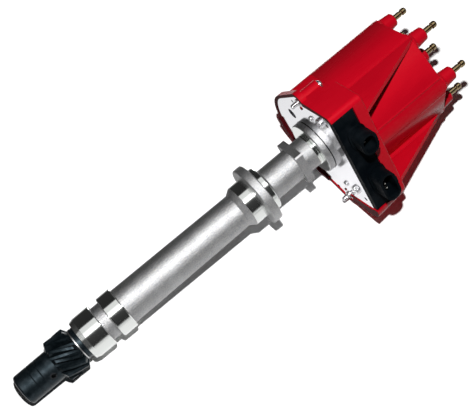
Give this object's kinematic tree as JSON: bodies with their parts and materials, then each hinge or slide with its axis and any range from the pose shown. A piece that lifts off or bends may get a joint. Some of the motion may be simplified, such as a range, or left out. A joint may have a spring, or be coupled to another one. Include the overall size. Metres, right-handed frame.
{
  "type": "ignition distributor",
  "caption": "Long-shaft ignition distributor with helical drive gear, turned aluminium housing, fluted moulded cap with tower terminals and a side ignition module.",
  "frame": {"origin": "centre of the mounting collar's lower face, on the shaft's axis", "axes": "+Z along the shaft towards the cap, -Y the way the ignition module's sockets face, +X completes the right-handed frame"},
  "size_m": [0.1092, 0.1096, 0.379],
  "materials": {
    "cast_aluminium": "cast with machined bands and a polished base plate",
    "red_cap": "gloss moulded",
    "module_black": "satin moulded",
    "rotor_black": "satin moulded",
    "terminal_brass": "bright turned",
    "bushing_bronze": "sintered",
    "gear_black": "black oxide",
    "shaft_steel": "ground",
    "washer_steel": "flat ground",
    "screw_chrome": "bright plated",
    "core_steel": "plain sheet",
    "magnet_grey": "ferrite",
    "coil_bobbin": "moulded and taped",
    "heat_plate_aluminium": "rolled",
    "spring_steel": "drawn",
    "carbon": "pressed carbon",
    "seal_rubber": "moulded",
    "contact_tin": "tinned"
  },
  "bodies": {
    "housing": {"distributor_housing": "cast_aluminium", "lower_bushing": "bushing_bronze", "upper_bushing": "bushing_bronze", "shaft_seal": "seal_rubber", "pole_piece": "core_steel", "pickup_magnet": "magnet_grey", "pickup_coil": "coil_bobbin", "pickup_plate": "washer_steel", "distributor_cap": "red_cap", "plug_terminal_1": "terminal_brass", "plug_terminal_2": "terminal_brass", "plug_terminal_3": "terminal_brass", "plug_terminal_4": "terminal_brass", "plug_terminal_5": "terminal_brass", "plug_terminal_6": "terminal_brass", "coil_terminal": "terminal_brass", "button_spring": "spring_steel", "ignition_module": "module_black", "module_heat_plate": "heat_plate_aluminium", "coil_contact_1": "contact_tin", "coil_contact_2": "contact_tin", "timing_contact_1": "contact_tin", "timing_contact_2": "contact_tin", "timing_contact_3": "contact_tin", "timing_contact_4": "contact_tin", "module_screw_1": "screw_chrome", "cap_screw_1": "screw_chrome", "screw_retainer_1": "washer_steel", "plate_rivet_1": "screw_chrome", "module_screw_2": "screw_chrome", "cap_screw_2": "screw_chrome", "screw_retainer_2": "washer_steel", "plate_rivet_2": "screw_chrome"},
    "rotor_shaft": {"main_shaft": "shaft_steel", "drive_gear": "gear_black", "gear_pin": "shaft_steel", "thrust_washer": "washer_steel", "shim_1": "gear_black", "shim_2": "gear_black", "shim_3": "gear_black", "timing_core": "core_steel", "rotor": "rotor_black", "rotor_blade": "terminal_brass", "contact_spring": "spring_steel"},
    "brush": {"carbon_button": "carbon"}
  },
  "joints": [
    {"name": "shaft_spin", "type": "hinge", "parent": "housing", "child": "rotor_shaft", "pos_m": [0, 0, 0], "axis": [0, 0, 1], "continuous": true},
    {"name": "brush_slide", "type": "slide", "parent": "housing", "child": "brush", "axis": [0, 0, 1], "range_m": [0, 0.0015], "stiffness_N_per_m": 300, "springref_m": -0.004, "deforming": ["button_spring"]}
  ]
}
